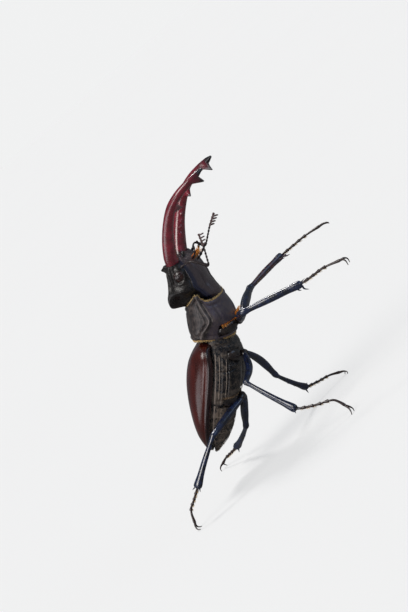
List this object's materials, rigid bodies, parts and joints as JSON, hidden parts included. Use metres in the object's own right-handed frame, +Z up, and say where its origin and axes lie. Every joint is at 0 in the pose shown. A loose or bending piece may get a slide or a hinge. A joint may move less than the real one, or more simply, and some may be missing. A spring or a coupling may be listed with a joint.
{
  "type": "stag beetle",
  "caption": "Life-size male stag beetle, rearing with jaws and forelegs raised: a still museum model that stands on four feet.",
  "frame": {"origin": "middle of the footprint box, on the floor", "axes": "+X the way the beetle faces, +Y its left side, +Z up from the floor"},
  "size_m": [0.0798, 0.0564, 0.0729],
  "materials": {
    "head_shell": "black-brown horny shell with fine pits, half gloss",
    "wing_case": "dark wine-red polished shell",
    "body_shell": "dark shell with a bloom of short grey-gold hairs",
    "jaw": "polished deep red, black at the tips",
    "leg_shell": "polished blue-black shell",
    "foot": "dark brown shell, half gloss",
    "feeler": "black-brown shell, half gloss",
    "club": "velvety purple-brown",
    "eye": "polished dark red-brown",
    "hair": "golden-orange hair"
  },
  "bodies": {
    "root": {"abdomen": "body_shell", "antenna_club_left": "club", "antenna_club_right": "club", "antenna_funicle_left": "feeler", "antenna_funicle_right": "feeler", "antenna_scape_left": "feeler", "antenna_scape_right": "feeler", "claws_fore_left": "foot", "claws_fore_right": "foot", "claws_hind_left": "foot", "claws_hind_right": "foot", "claws_mid_left": "foot", "claws_mid_right": "foot", "coxa_fore_left": "leg_shell", "coxa_fore_right": "leg_shell", "coxa_hind_left": "leg_shell", "coxa_hind_right": "leg_shell", "coxa_mid_left": "leg_shell", "coxa_mid_right": "leg_shell", "elytron_left": "wing_case", "elytron_right": "wing_case", "eye_left": "eye", "eye_right": "eye", "femur_fore_left": "leg_shell", "femur_fore_right": "leg_shell", "femur_hind_left": "leg_shell", "femur_hind_right": "leg_shell", "femur_mid_left": "leg_shell", "femur_mid_right": "leg_shell", "head": "head_shell", "labial_palp_left": "feeler", "labial_palp_right": "feeler", "labrum": "head_shell", "mandible_left": "jaw", "mandible_right": "jaw", "maxillary_palp_left": "feeler", "maxillary_palp_right": "feeler", "mouth_brush": "hair", "prothorax": "head_shell", "scutellum": "head_shell", "tarsus_fore_left": "foot", "tarsus_fore_right": "foot", "tarsus_hind_left": "foot", "tarsus_hind_right": "foot", "tarsus_mid_left": "foot", "tarsus_mid_right": "foot", "thorax": "body_shell", "tibia_fore_left": "leg_shell", "tibia_fore_right": "leg_shell", "tibia_hind_left": "leg_shell", "tibia_hind_right": "leg_shell", "tibia_mid_left": "leg_shell", "tibia_mid_right": "leg_shell"}
  },
  "joints": []
}
